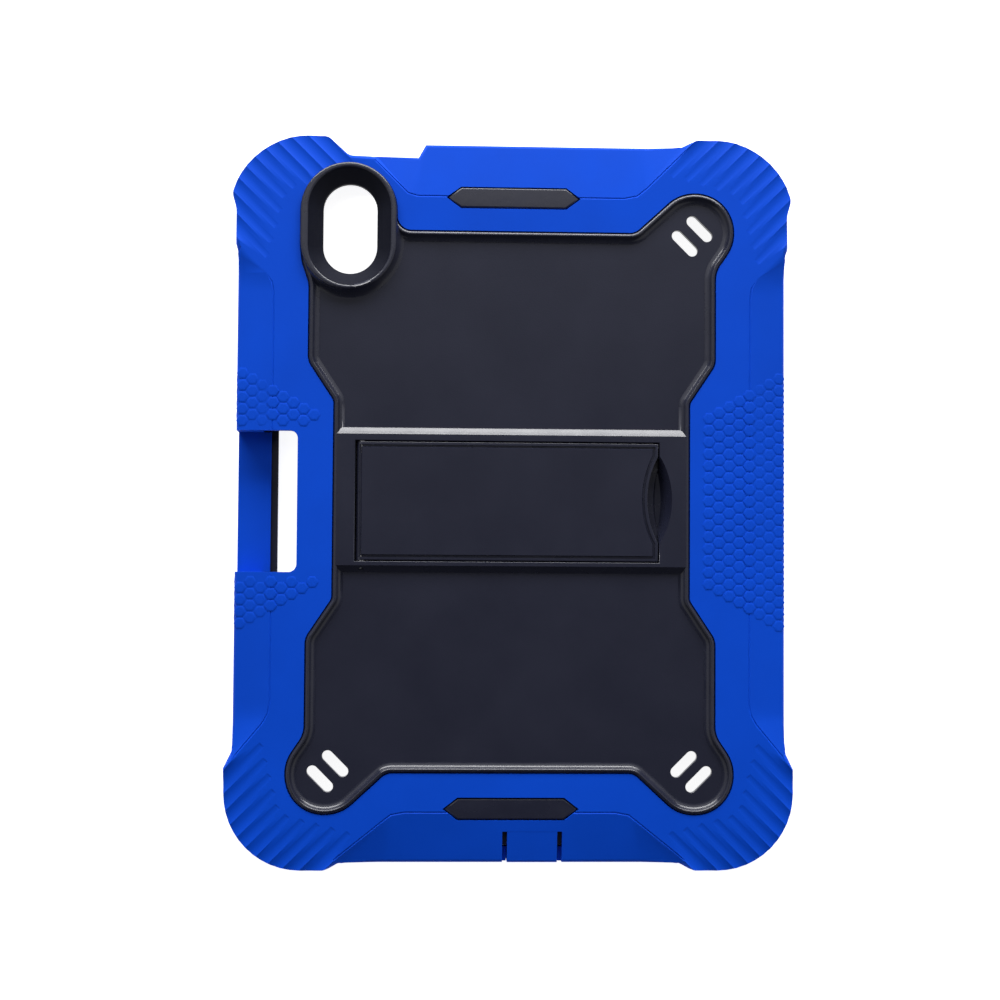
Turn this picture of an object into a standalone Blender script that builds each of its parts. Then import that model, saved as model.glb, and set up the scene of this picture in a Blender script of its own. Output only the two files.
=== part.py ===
"""Rugged tablet case: a silicone skin over a hard shell, with a kickstand, a port flap and two key covers.

The case lies with its screen side down: +Z is the rear, +Y the camera end and +X the side away from
the stylus cut-out. Sizes below are in millimetres and turned to metres where a mesh is made.
"""

import math

import bmesh
import bpy
from mathutils import Matrix, Vector

MM = 0.001
GAP = 0.3                     # between pieces that touch on the real case
PAST = 1.0                    # how far a tool runs past the face that it opens or joins
ROUND_STEP = 15.0             # degrees of arc in one facet

# Tablet that the case is made for, and the hard parts round it.
POCKET_X = 89.7               # half width of the pocket
POCKET_Y = 124.3
POCKET_R = 18.4
WALL = 1.9
FRAME_Z0, FRAME_Z1 = 2.1, 3.7  # bezel of the front frame
FRAME_LAP = 2.9               # how far the bezel covers the glass
SHELL_Z0 = 4.0
SEAT_Z = 11.2                 # face that the tablet's back rests on
PLATE_Z = 13.2                # outside of the shell's back plate, and floor of the kickstand bay
FIELD_Z = 16.0
RIM_Z = 17.8
RING_Z = 19.4
BAR_Z = 16.9

# Skin.
LIP_Z = 1.8
EDGE_Z = 14.5                 # where the sloped border meets the side
BACK_Z = 17.2
SIDE_X, END_Y = 101.4, 132.3
PAD_X, PAD_Y, PAD_R = 76.2, 107.0, 28.0   # corner pads: centre and radius of the outer arc
FRONT_CHAMFER = 1.5
TOP_SIDE = [(SIDE_X, 80.5), (SIDE_X, 93.4), (102.1, 95.0), (102.1, 107.0), (103.7, 112.6)]
TOP_END = [(67.7, 135.0), (64.5, END_Y), (45.8, END_Y)]
TOP_CREST = (87.4, 80.5), (45.8, 112.4)   # where the crest line turns, above TOP_SIDE and TOP_END
BOTTOM_SIDE = [(SIDE_X, 78.7), (SIDE_X, 93.8), (104.2, 98.2)]
BOTTOM_END = [(67.0, 135.0), (64.2, END_Y), (43.3, END_Y)]
BOTTOM_CREST = (87.3, 78.7), (43.3, 113.8)
NOTCH_END_X = -68.6
NOTCH = [(-32.6, END_Y), (-35.3, 127.45), (-52.0, 127.45), (-61.0, 127.45), (NOTCH_END_X, 134.4)]
NOTCH_CREST = [(-35.5, 112.4), (-39.0, 113.4), (-52.0, 126.6), (-61.0, 127.45), (NOTCH_END_X, 134.4)]
SCREEN_X, SCREEN_Y, SCREEN_R = 88.2, 122.8, 16.9

# Panel of the shell that shows in the skin's window.
WAIST_X, WAIST_Y = 65.45, 36.4
PANEL_X, PANEL_Y = 75.0, 99.4
SHOULDER_Y = 50.8
LOBE_X, LOBE_Y, LOBE_R = 67.4, 100.3, 14.4
RIM_WIDTH = 3.8
FIELD_Y0, FIELD_Y1 = 26.7, -26.6          # edges of the two fields at the kickstand band

# Cells cored out behind the fields: first row start, pitch along Y, and each row's x0, x1 and count.
CORE_Y, CORE_PITCH, CORE_RIB = 31.0, 20.5, 1.6
CORE_ROWS = ((-59.0, 59.0, 5), (-68.0, 68.0, 6), (-68.0, 68.0, 6))
CORE_CAMERA_X = -40.0
FIELD_WALL = 2.0

# Camera opening.
RING_X, RING_Y = -60.7, 100.65
RING_HALF_X, RING_HALF_Y = 17.6, 23.55
RING_CREST, RING_FOOT = 2.2, 1.4
HOLE_X, HOLE_Y = -60.4, 100.5
HOLE_HALF_X, HOLE_HALF_Y = 10.0, 16.75

# Kickstand and its bay.
BAY_X0, BAY_X1 = -57.5, 54.3
BAY_Y0, BAY_Y1 = -22.5, 21.75
STAND_GAP = 0.4
STAND_Z0, STAND_Z1 = 13.6, 17.6
SCOOP_Y0, SCOOP_Y1 = -15.9, 17.3
SCOOP_X0, SCOOP_X1 = 50.0, 59.1
STAND_EDGE, STAND_SKIN, STAND_CELLS = 2.4, 2.2, 4
PIN_R = 1.25
PIN_Z = (STAND_Z0 + STAND_Z1) / 2
PIN_X = BAY_X0 + STAND_GAP + (STAND_Z1 - STAND_Z0) / 2
PIN_IN_STAND, PIN_IN_SHELL = 4.0, 2.7

# Openings in the sides.
CUT_X = -78.6
CUT_Y0, CUT_Y1 = -26.7, 25.2
CUT_FLOOR, CUT_R = 5.5, 3.0
CUT_OUTSIDE = 110.2
FLAP_X0, FLAP_X1 = -0.9, 17.4
FLAP_SLIT = 1.8
FLAP_Y = -120.8
KEY_Z0, KEY_Z1 = 5.2, 10.4
KEY_LENGTH = 14.0
KEY_CENTRES = {"volume_up_button": 81.0, "volume_down_button": 63.0}
KEY_TIP = 90.4
LEDGE_X = 89.3
FLAP_Z0 = 3.6
FLAP_FACE_Y = -126.8
POWER_X0, POWER_X1 = -57.0, -39.0
PORT_X0, PORT_X1 = 2.2, 14.2
PORT_Z0, PORT_Z1 = 5.0, 10.2
PLUG_EDGE = 1.0               # the flap's plug is this much narrower than the port at each side
PLUG_Z0, PLUG_Z1 = 6.0, 8.8
PLUG_TIP_Y = -124.7
SPEAKERS = ((36.0, 60.0, 1), (-26.0, -2.0, 1), (-62.0, -38.0, -1), (38.0, 62.0, -1))
SPEAKER_Z0, SPEAKER_Z1 = 6.0, 9.2
# How far in and out the openings run through each wall: from x and y, to x and y.
SKIN_OPENINGS = (90.5, 125.0, 110.0, 140.0)
SHELL_OPENINGS = (88.0, 122.0, 93.0, 128.0)

# Snap tabs of the front frame: centre along the edge, and which edge.
TABS_SIDE = (40.0, -40.0, -95.0)
TABS_TOP = (-10.0, 20.0)
TABS_BOTTOM = (-25.0, 27.0)
TAB_LENGTH, TAB_RISE = 10.0, 2.5
TAB_NEAR, TAB_FAR = 0.3, 1.6  # from the pocket's wall

# Strap slots of the +X +Y lobe; the other two lobes mirror them.
STRAP_SLOTS = ((63.5, 96.2), (69.2, 101.7))
STRAP_SLOT_X, STRAP_SLOT_Y = 3.5, 11.4

COLOURS = {
    "silicone_blue": ((0.012, 0.075, 0.58), 0.62),
    "shell_black": ((0.016, 0.016, 0.022), 0.38),
    "steel": ((0.55, 0.55, 0.56), 0.3),
}


def clear_scene():
    for obj in list(bpy.data.objects):
        bpy.data.objects.remove(obj)


def material(name):
    found = bpy.data.materials.get(name)
    if found:
        return found
    colour, roughness = COLOURS[name]
    made = bpy.data.materials.new(name)
    made.use_nodes = True
    shader = made.node_tree.nodes["Principled BSDF"]
    shader.inputs["Base Color"].default_value = (*colour, 1.0)
    shader.inputs["Roughness"].default_value = roughness
    shader.inputs["Metallic"].default_value = 1.0 if name == "steel" else 0.0
    return made


def arc(cx, cy, radius, start, end, step=ROUND_STEP):
    """Points of an arc, in degrees from +X."""
    count = max(2, math.ceil(abs(end - start) / step))
    angles = [math.radians(start + (end - start) * i / count) for i in range(count + 1)]
    return [(cx + radius * math.cos(a), cy + radius * math.sin(a)) for a in angles]


def rounded(corners, step=30.0):
    """An outline whose corners (x, y, radius) are rounded; a corner with no radius stays a point."""
    points = []
    for i, corner in enumerate(corners):
        x, y = corner[:2]
        radius = corner[2] if len(corner) > 2 else 0.0
        if not radius:
            points.append((x, y))
            continue
        before, after = corners[i - 1], corners[(i + 1) % len(corners)]
        a0 = math.atan2(before[1] - y, before[0] - x)
        a1 = math.atan2(after[1] - y, after[0] - x)
        inner = (a1 - a0) % (2 * math.pi)
        half = min(inner, 2 * math.pi - inner) / 2
        middle = a0 + inner / 2 if inner < math.pi else a0 + inner / 2 + math.pi
        reach = radius / math.sin(half)
        cx, cy = x + reach * math.cos(middle), y + reach * math.sin(middle)
        turn = math.degrees(math.pi - 2 * half)
        side = 1 if inner > math.pi else -1
        start = math.degrees(middle) + 180 - side * turn / 2
        points += arc(cx, cy, radius, start, start + side * turn, step)
    return points


def offset(points, distance):
    """The outline moved outwards by distance, or inwards where it is negative. It runs anticlockwise."""
    moved = []
    for i, (x, y) in enumerate(points):
        (x0, y0), (x1, y1) = points[i - 1], points[(i + 1) % len(points)]
        a = math.atan2(y - y0, x - x0) - math.pi / 2
        b = math.atan2(y1 - y, x1 - x) - math.pi / 2
        nx, ny = math.cos(a) + math.cos(b), math.sin(a) + math.sin(b)
        scale = distance * 2 / (nx * nx + ny * ny)
        moved.append((x + nx * scale, y + ny * scale))
    return moved


def rectangle(x0, x1, y0, y1, radius=0.0):
    corners = [(x1, y0, radius), (x1, y1, radius), (x0, y1, radius), (x0, y0, radius)]
    return rounded(corners, ROUND_STEP)


def centred(half_x, half_y, radius):
    return rectangle(-half_x, half_x, -half_y, half_y, radius)


def pill(cx, cy, half_x, half_y, step=ROUND_STEP):
    """An upright slot outline with round ends."""
    reach = half_y - half_x
    return arc(cx, cy + reach, half_x, 0, 180, step) + arc(cx, cy - reach, half_x, 180, 360, step)


def loft(name, rings, along="z"):
    """A closed body through rings of equal point counts, each (points, place along that axis)."""
    bm = bmesh.new()
    add_loft(bm, rings, along)
    return finish_mesh(name, bm)


def add_loft(bm, rings, along="z"):
    """Points are (x, y) along z, (x, z) along y and (y, z) along x."""
    order = {"z": (0, 1, 2), "y": (0, 2, 1), "x": (2, 0, 1)}[along]
    loops = []
    for points, place in rings:
        triples = [(a, b, place) for a, b in points]
        loops.append([Vector([t[k] for k in order]) * MM for t in triples])
    cap = bm.faces.new([bm.verts.new(point) for point in loops[0]])
    for before, after in zip(loops, loops[1:]):
        made = bmesh.ops.extrude_face_region(bm, geom=[cap])["geom"]
        if before is not loops[0]:
            bmesh.ops.delete(bm, geom=[cap], context="FACES_ONLY")
        cap = next(item for item in made if isinstance(item, bmesh.types.BMFace))
        for vert in cap.verts:
            vert.co = after[nearest(before, vert.co)]


def nearest(points, place):
    """Which of the points is nearest to a place."""
    return min(range(len(points)), key=lambda i: (points[i] - place).length)


def add_prism(bm, points, start, end, along="z"):
    add_loft(bm, [(points, start), (points, end)], along)


def add_box(bm, x0, x1, y0, y1, z0, z1):
    add_prism(bm, [(x0, y0), (x1, y0), (x1, y1), (x0, y1)], z0, z1)


def finish_mesh(name, bm):
    mesh = bpy.data.meshes.new(name)
    bmesh.ops.recalc_face_normals(bm, faces=bm.faces)
    bm.to_mesh(mesh)
    bm.free()
    obj = bpy.data.objects.new(name, mesh)
    bpy.context.scene.collection.objects.link(obj)
    return obj


def prism(name, points, start, end, along="z"):
    return loft(name, [(points, start), (points, end)], along)


def boxes(name, sizes):
    """One object of separate boxes, each (x0, x1, y0, y1, z0, z1)."""
    bm = bmesh.new()
    for size in sizes:
        add_box(bm, *size)
    return finish_mesh(name, bm)


def combine(body, tool, operation):
    """Joins tool to body, or cuts it away; the tool stays as a hidden guide."""
    tool.hide_render = True
    tool.display_type = "WIRE"
    modifier = body.modifiers.new(tool.name, "BOOLEAN")
    modifier.operation = operation
    modifier.object = tool


def cut(body, *tools):
    for tool in tools:
        combine(body, tool, "DIFFERENCE")


def join(body, *tools):
    for tool in tools:
        combine(body, tool, "UNION")


def dress(obj, material_name):
    obj.data.materials.append(material(material_name))


def panel_corner():
    """The panel's outline in the +X +Y quarter, anticlockwise from the waist to the end edge."""
    return [
        (WAIST_X, WAIST_Y, 3.0),
        (PANEL_X, SHOULDER_Y, 6.0),
        (PANEL_X, 85.6, 9.0),
        *arc(LOBE_X, LOBE_Y, LOBE_R, -35, 132),
        (45.3, PANEL_Y, 5.0),
    ]


def panel_outline():
    """The whole panel; the camera ring takes the place of the lobe at -X +Y."""
    corner = panel_corner()
    arc_y = RING_Y + RING_HALF_Y - RING_HALF_X
    camera = [
        (RING_X + RING_HALF_X, PANEL_Y, 5.5),
        *arc(RING_X, arc_y, RING_HALF_X, 0, 180),
        (RING_X - RING_HALF_X, 93.5, 4.0),
        (-77.6, 87.2, 6.0),
        (-PANEL_X, 79.5, 8.0),
        (-PANEL_X, SHOULDER_Y, 6.0),
        (-WAIST_X, WAIST_Y, 3.0),
    ]
    turned = [(-c[0], -c[1], *c[2:]) for c in corner]
    mirrored = [(c[0], -c[1], *c[2:]) for c in reversed(corner)]
    return rounded(corner + camera + turned + mirrored)


def bar_outline(centre_x, y0, y1):
    """A bar with pointed ends."""
    middle = (y0 + y1) / 2
    return [
        (centre_x - 24.4, middle),
        (centre_x - 19.4, y0),
        (centre_x + 19.4, y0),
        (centre_x + 24.4, middle),
        (centre_x + 19.4, y1),
        (centre_x - 19.4, y1),
    ]


def bars():
    return bar_outline(0.0, 108.3, 115.8), bar_outline(0.3, -116.4, -108.7)


def strap_slots(name):
    """Two slots through each lobe, across its diagonal, for a strap."""
    bm = bmesh.new()
    for sx, sy in ((1, 1), (-1, -1), (1, -1)):
        turn = math.radians(45 * sx * sy)
        for x, y in STRAP_SLOTS:
            outline = [
                (
                    sx * x + a * math.cos(turn) - b * math.sin(turn),
                    sy * y + a * math.sin(turn) + b * math.cos(turn),
                )
                for a, b in pill(0.0, 0.0, STRAP_SLOT_X / 2, STRAP_SLOT_Y / 2, 30.0)
            ]
            add_prism(bm, outline, SEAT_Z - PAST, RING_Z)
    return finish_mesh(name, bm)


def snap_tabs(name, near, far, grow, z0, z1):
    """Boxes for the frame's snap tabs or their slots, between near and far from the pocket's wall."""
    half = TAB_LENGTH / 2 + grow
    sizes = []
    for y in TABS_SIDE:
        sizes.append((POCKET_X + near, POCKET_X + far, y - half, y + half, z0, z1))
        sizes.append((-POCKET_X - far, -POCKET_X - near, y - half, y + half, z0, z1))
    for x in TABS_TOP:
        sizes.append((x - half, x + half, POCKET_Y + near, POCKET_Y + far, z0, z1))
    for x in TABS_BOTTOM:
        sizes.append((x - half, x + half, -POCKET_Y - far, -POCKET_Y - near, z0, z1))
    return boxes(name, sizes)


def outer_corner(sx, sy):
    """The skin's outline at one corner pad, anticlockwise for +X +Y."""
    side, start, end = (TOP_SIDE, 15.0, TOP_END) if sy > 0 else (BOTTOM_SIDE, 0.0, BOTTOM_END)
    return placed(side + arc(PAD_X, PAD_Y, PAD_R, start, 90, 7.5) + end, sx, sy)


def crest_corner(sx, sy):
    """The line where the flat back turns down to the border, point for point with outer_corner."""
    points = placed(outer_corner(1, sy), 1, sy)
    points[0], points[-1] = TOP_CREST if sy > 0 else BOTTOM_CREST
    return placed(points, sx, sy)


def placed(points, sx, sy):
    """Points of the +X +Y quarter moved to another quarter, still anticlockwise."""
    moved = [(sx * x, sy * y) for x, y in points]
    return moved if sx * sy > 0 else moved[::-1]


def skin_rings():
    """The outer outline and the crest line, point for point."""
    camera_corner = [p for p in outer_corner(-1, 1) if p[0] < NOTCH_END_X]
    camera_crest = [*camera_corner[:-1], (-TOP_CREST[0][0], TOP_CREST[0][1])]
    outer = outer_corner(1, 1) + NOTCH + camera_corner + outer_corner(-1, -1) + outer_corner(1, -1)
    crest = crest_corner(1, 1) + NOTCH_CREST + camera_crest + crest_corner(-1, -1) + crest_corner(1, -1)
    return outer, crest


def border_z(y):
    """Height of the sloped border across the bottom end."""
    crest_y = BOTTOM_CREST[1][1]
    return BACK_Z - (BACK_Z - EDGE_Z) * (-y - crest_y) / (END_Y - crest_y)


def bow(x, y0, y1, depth):
    """The arc from (x, y0) to (x, y1) that bulges by depth towards +X, or towards -X if negative."""
    half = (y1 - y0) / 2
    radius = (half * half + depth * depth) / (2 * abs(depth))
    swing = math.degrees(math.asin(half / radius))
    middle = (y0 + y1) / 2
    if depth > 0:
        return arc(x + depth - radius, middle, radius, -swing, swing, 6.0)
    return arc(x + depth + radius, middle, radius, 180 + swing, 180 - swing, 6.0)


def key_outline(name, grow):
    """The rounded outline of a key cover in the side wall, as (y, z)."""
    y = KEY_CENTRES[name]
    half = KEY_LENGTH / 2 + grow
    radius = (KEY_Z1 - KEY_Z0) / 2 + grow - 0.2
    return rectangle(y - half, y + half, KEY_Z0 - grow, KEY_Z1 + grow, radius)


def side_holes(name, near_x, near_y, far_x, far_y):
    """The key, speaker and key cover openings, cut from near to far on each side."""
    bm = bmesh.new()
    add_box(bm, POWER_X0, POWER_X1, near_y, far_y, KEY_Z0, KEY_Z1)
    for x0, x1, end in SPEAKERS:
        y0, y1 = sorted((end * near_y, end * far_y))
        add_box(bm, x0, x1, y0, y1, SPEAKER_Z0, SPEAKER_Z1)
    for key in KEY_CENTRES:
        add_prism(bm, key_outline(key, GAP), -far_x, -near_x, "x")
    return finish_mesh(name, bm)


def silicone_skin():
    outer, crest = skin_rings()
    body = loft(
        "silicone_skin",
        [(offset(outer, -FRONT_CHAMFER), 0.0), (outer, FRONT_CHAMFER), (outer, EDGE_Z), (crest, BACK_Z)],
    )
    grow = WALL + GAP
    inside = centred(POCKET_X + grow, POCKET_Y + grow, POCKET_R + grow)
    screen = centred(SCREEN_X, SCREEN_Y, SCREEN_R)
    top_bar, bottom_bar = bars()
    slits = (FLAP_X0 - FLAP_SLIT, FLAP_X1 + FLAP_SLIT, -END_Y - PAST, FLAP_Y, FLAP_Z0 - GAP, RING_Z)
    cut(
        body,
        prism("skin_inside", inside, LIP_Z, PLATE_Z + GAP),
        prism("skin_screen_opening", screen, -PAST, LIP_Z + PAST / 2),
        prism("skin_window", offset(panel_outline(), GAP), PLATE_Z, RING_Z + PAST),
        prism("skin_top_window", offset(top_bar, GAP), PLATE_Z, RING_Z),
        prism("skin_bottom_window", offset(bottom_bar, GAP), PLATE_Z, RING_Z),
        prism("skin_cut_out", rectangle(-CUT_OUTSIDE, CUT_X, CUT_Y0, CUT_Y1, CUT_R), CUT_FLOOR, RING_Z),
        boxes("skin_flap_opening", [slits]),
        side_holes("skin_side_holes", *SKIN_OPENINGS),
    )
    ledge = (-POCKET_X - grow - PAST, -LEDGE_X, CUT_Y0, CUT_Y1, SHELL_Z0, CUT_FLOOR)
    join(body, boxes("skin_ledge", [ledge]))
    dress(body, "silicone_blue")


def core_boxes():
    """The cored cells behind each field, with a rib between neighbours."""
    sizes = []
    for sign in (1, -1):
        for row, (x0, x1, count) in enumerate(CORE_ROWS):
            if row and sign > 0:
                x0 = CORE_CAMERA_X
                count -= 1
            width = (x1 - x0 + CORE_RIB) / count
            near = CORE_Y + row * CORE_PITCH
            far = near + CORE_PITCH - CORE_RIB
            y0, y1 = sorted((sign * near, sign * far))
            for i in range(count):
                left = x0 + i * width
                sizes.append((left, left + width - CORE_RIB, y0, y1, SEAT_Z - PAST, FIELD_Z - FIELD_WALL))
    return sizes


def rear_shell():
    outer = centred(POCKET_X + WALL, POCKET_Y + WALL, POCKET_R + WALL)
    body = prism("rear_shell", outer, SHELL_Z0, PLATE_Z)
    top_bar, bottom_bar = bars()
    inside_z = PLATE_Z - PAST
    join(
        body,
        prism("shell_panel", panel_outline(), inside_z, RIM_Z),
        prism("shell_ring", pill(RING_X, RING_Y, RING_HALF_X, RING_HALF_Y), inside_z, RING_Z),
        prism("shell_top_bar", top_bar, inside_z, BAR_Z),
        prism("shell_bottom_bar", bottom_bar, inside_z, BAR_Z),
    )
    fields = prism("shell_fields", offset(panel_outline(), -RIM_WIDTH), FIELD_Z, RING_Z + PAST)
    ring = pill(RING_X, RING_Y, RING_HALF_X + RING_FOOT, RING_HALF_Y + RING_FOOT)
    cut(
        fields,
        prism("fields_ring", ring, FIELD_Z - PAST, RING_Z + 2 * PAST),
        boxes("fields_band", [(-PANEL_X, PANEL_X, FIELD_Y1, FIELD_Y0, FIELD_Z - PAST, RING_Z + 2 * PAST)]),
    )
    bay = [
        (BAY_X0, BAY_Y1),
        (BAY_X0, BAY_Y0),
        (BAY_X1, BAY_Y0),
        *bow(BAY_X1, SCOOP_Y0, SCOOP_Y1, SCOOP_X1 - BAY_X1),
        (BAY_X1, BAY_Y1),
    ]
    hole = pill(HOLE_X, HOLE_Y, HOLE_HALF_X, HOLE_HALF_Y)
    mouth = pill(RING_X, RING_Y, RING_HALF_X - RING_CREST, RING_HALF_Y - RING_CREST)
    slot_top = FRAME_Z1 + TAB_RISE + GAP
    cut(
        body,
        prism("shell_pocket", centred(POCKET_X, POCKET_Y, POCKET_R), SHELL_Z0 - PAST, SEAT_Z),
        fields,
        boxes("shell_cores", core_boxes()),
        prism("shell_bay", bay, PLATE_Z, RING_Z),
        prism("shell_camera_hole", hole, SEAT_Z - PAST, RING_Z),
        loft("shell_camera_mouth", [(hole, PLATE_Z), (mouth, RING_Z + 0.1)]),
        strap_slots("shell_strap_slots"),
        boxes("shell_cut_out", [(-CUT_OUTSIDE, CUT_X + GAP, CUT_Y0 - GAP, CUT_Y1 + GAP, 0.0, RING_Z)]),
        boxes("shell_port", [(PORT_X0, PORT_X1, -END_Y, -POCKET_Y + PAST, PORT_Z0, PORT_Z1)]),
        side_holes("shell_side_holes", *SHELL_OPENINGS),
        snap_tabs("shell_tab_slots", -PAST, WALL + PAST, GAP, SHELL_Z0 - PAST, slot_top),
        pins("shell_pin_holes", PIN_R + GAP, GAP),
    )
    dress(body, "shell_black")


def pins(name, radius, extra):
    """Both hinge pins as one object, or the holes for them."""
    bm = bmesh.new()
    for y0, y1 in pin_spans(extra):
        add_prism(bm, arc(PIN_X, PIN_Z, radius, 0, 337.5, 22.5), y0, y1, "y")
    return finish_mesh(name, bm)


def pin_spans(extra):
    """Where each pin runs along Y: from inside the stand into the shell."""
    upper = (BAY_Y1 - STAND_GAP - PIN_IN_STAND - extra, BAY_Y1 + PIN_IN_SHELL + extra)
    lower = (BAY_Y0 - PIN_IN_SHELL - extra, BAY_Y0 + STAND_GAP + PIN_IN_STAND + extra)
    return upper, lower


def kickstand_pins():
    for name, (y0, y1) in zip(("kickstand_pin_upper", "kickstand_pin_lower"), pin_spans(0.0)):
        pin = prism(name, arc(PIN_X, PIN_Z, PIN_R, 0, 337.5, 22.5), y0, y1, "y")
        dress(pin, "steel")


def kickstand():
    """A plate with a round knuckle at its hinge end, hollowed behind between ribs."""
    half = (STAND_Z1 - STAND_Z0) / 2
    x1 = BAY_X1 - STAND_GAP
    side = [*arc(PIN_X, PIN_Z, half, 90, 270), (x1, STAND_Z0), (x1, STAND_Z1)]
    y0, y1 = BAY_Y0 + STAND_GAP, BAY_Y1 - STAND_GAP
    body = prism("kickstand", side, y0, y1, "y")
    scoop = [
        *bow(BAY_X1, SCOOP_Y0, SCOOP_Y1, SCOOP_X0 - BAY_X1),
        (BAY_X1 + PAST, SCOOP_Y1),
        (BAY_X1 + PAST, SCOOP_Y0),
    ]
    hollow_x0 = PIN_X + half + STAND_EDGE
    width = (SCOOP_X0 - STAND_EDGE - hollow_x0 + CORE_RIB) / STAND_CELLS
    cells = []
    for i in range(STAND_CELLS):
        left = hollow_x0 + i * width
        cells.append(
            (left, left + width - CORE_RIB, y0 + STAND_EDGE, y1 - STAND_EDGE, 0.0, STAND_Z1 - STAND_SKIN)
        )
    cut(
        body,
        prism("kickstand_scoop", scoop, 0.0, RING_Z),
        boxes("kickstand_cells", cells),
        pins("kickstand_pin_holes", PIN_R + GAP, GAP),
    )
    put_origin(body, PIN_X, (y0 + y1) / 2, PIN_Z)
    dress(body, "shell_black")


def front_frame():
    """The bezel in front of the glass, with tabs that snap into the rear shell."""
    body = prism(
        "front_frame", centred(POCKET_X + WALL, POCKET_Y + WALL, POCKET_R + WALL), FRAME_Z0, FRAME_Z1
    )
    lap = centred(POCKET_X - FRAME_LAP, POCKET_Y - FRAME_LAP, POCKET_R - FRAME_LAP)
    join(body, snap_tabs("frame_tabs", TAB_NEAR, TAB_FAR, 0.0, FRAME_Z1 - PAST / 2, FRAME_Z1 + TAB_RISE))
    cut(body, prism("frame_screen_opening", lap, 0.0, SEAT_Z))
    dress(body, "shell_black")


def port_flap():
    """An angled flap with a plug for the port, hinged where it meets the skin's back."""
    top = FLAP_Y - GAP
    side = [
        (top, PLATE_Z + GAP),
        (FLAP_FACE_Y, PLATE_Z + GAP),
        (FLAP_FACE_Y, FLAP_Z0),
        (-END_Y + FRONT_CHAMFER / 2, FLAP_Z0),
        (-END_Y, FLAP_Z0 + FRONT_CHAMFER / 2),
        (-END_Y, EDGE_Z),
        (top, border_z(top)),
    ]
    body = prism("port_flap", side, FLAP_X0, FLAP_X1, "x")
    x0, x1 = PORT_X0 + PLUG_EDGE, PORT_X1 - PLUG_EDGE
    join(body, boxes("port_plug", [(x0, x1, FLAP_FACE_Y - PAST, PLUG_TIP_Y, PLUG_Z0, PLUG_Z1)]))
    put_origin(body, (FLAP_X0 + FLAP_X1) / 2, FLAP_Y, border_z(FLAP_Y))
    dress(body, "silicone_blue")


def key_cover(name):
    body = prism(name, key_outline(name, 0.0), -SIDE_X, -KEY_TIP, "x")
    put_origin(body, -SIDE_X, KEY_CENTRES[name], (KEY_Z0 + KEY_Z1) / 2)
    dress(body, "silicone_blue")


def put_origin(obj, x, y, z):
    """Moves the object's origin to its joint, leaving its shape in place."""
    place = Vector((x * MM, y * MM, z * MM))
    obj.data.transform(Matrix.Translation(-place))
    obj.location = place


def main():
    clear_scene()
    silicone_skin()
    rear_shell()
    front_frame()
    kickstand()
    kickstand_pins()
    port_flap()
    for name in KEY_CENTRES:
        key_cover(name)


if __name__ == "__main__":
    main()
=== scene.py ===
"""Looks of a rugged tablet case: a moulded silicone skin over a hard shell with a kickstand.

The case lies with its screen side down: +Z is the rear, +Y the camera end and +X the side away from
the stylus cut-out. Shapes are worked out in millimetres and turned to metres as each piece is finished.
"""

import math

import bmesh
import bpy
from mathutils import Matrix, Vector


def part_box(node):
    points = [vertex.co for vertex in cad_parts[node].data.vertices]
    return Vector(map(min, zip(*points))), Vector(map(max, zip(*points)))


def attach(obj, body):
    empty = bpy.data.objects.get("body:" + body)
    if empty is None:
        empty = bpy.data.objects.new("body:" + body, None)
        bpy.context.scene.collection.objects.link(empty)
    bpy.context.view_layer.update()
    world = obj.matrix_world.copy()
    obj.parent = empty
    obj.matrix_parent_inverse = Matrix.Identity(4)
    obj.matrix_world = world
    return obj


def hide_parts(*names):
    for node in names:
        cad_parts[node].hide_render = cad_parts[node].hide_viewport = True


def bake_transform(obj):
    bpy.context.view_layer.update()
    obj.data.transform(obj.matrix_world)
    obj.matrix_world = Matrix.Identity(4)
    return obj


bl_info = {
    "name": "Rugged tablet case",
    "version": (1, 0, 0),
    "blender": (4, 5, 0),
    "location": "3D View > Sidebar > Case",
    "description": "Builds the finished surfaces of a rugged tablet case around its working model",
    "category": "Object",
}

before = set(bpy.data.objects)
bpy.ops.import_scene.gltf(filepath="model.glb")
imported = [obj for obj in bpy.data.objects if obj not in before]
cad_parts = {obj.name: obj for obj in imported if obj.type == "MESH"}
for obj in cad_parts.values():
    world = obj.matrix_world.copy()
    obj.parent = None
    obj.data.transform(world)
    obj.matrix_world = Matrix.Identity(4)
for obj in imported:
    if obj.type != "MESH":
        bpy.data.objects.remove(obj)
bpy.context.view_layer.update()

MM = 0.001
ARC_STEP = math.radians(7.5)          # turn of one facet along a rounded outline
ROUND_PARTS = 3                       # facets across a rounded edge
MERGE = 0.06                          # points nearer than this are one point
CLEAR = 3.0                           # how far a cutting tool runs past the face that it opens
GAP = 0.3                             # between pieces that touch


def corner_mm(node, end):
    """The lowest (0) or highest (1) corner of a working part, in millimetres."""
    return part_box(node)[end] / MM


# Heights, each read from the working part that it belongs to.
BACK_Z = corner_mm("silicone_skin", 1).z
RING_Z = corner_mm("rear_shell", 1).z
SHELL_Z0 = corner_mm("rear_shell", 0).z
BEZEL_Z0 = corner_mm("front_frame", 0).z
STAND_Z0, STAND_Z1 = corner_mm("kickstand", 0).z, corner_mm("kickstand", 1).z
FLAP_X0, FLAP_X1 = corner_mm("port_flap", 0).x, corner_mm("port_flap", 1).x
FLAP_Z0 = corner_mm("port_flap", 0).z
SHELL_X, SHELL_Y = corner_mm("rear_shell", 1).x, corner_mm("rear_shell", 1).y
BEZEL_Z1 = 3.7
SEAT_Z, PLATE_Z, FIELD_Z, RIM_Z, BAR_Z = 11.2, 13.2, 16.0, 17.8, 16.9
EDGE_Z = 14.5                         # where the sloped border meets the side
LIP_Z = 1.8

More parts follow.
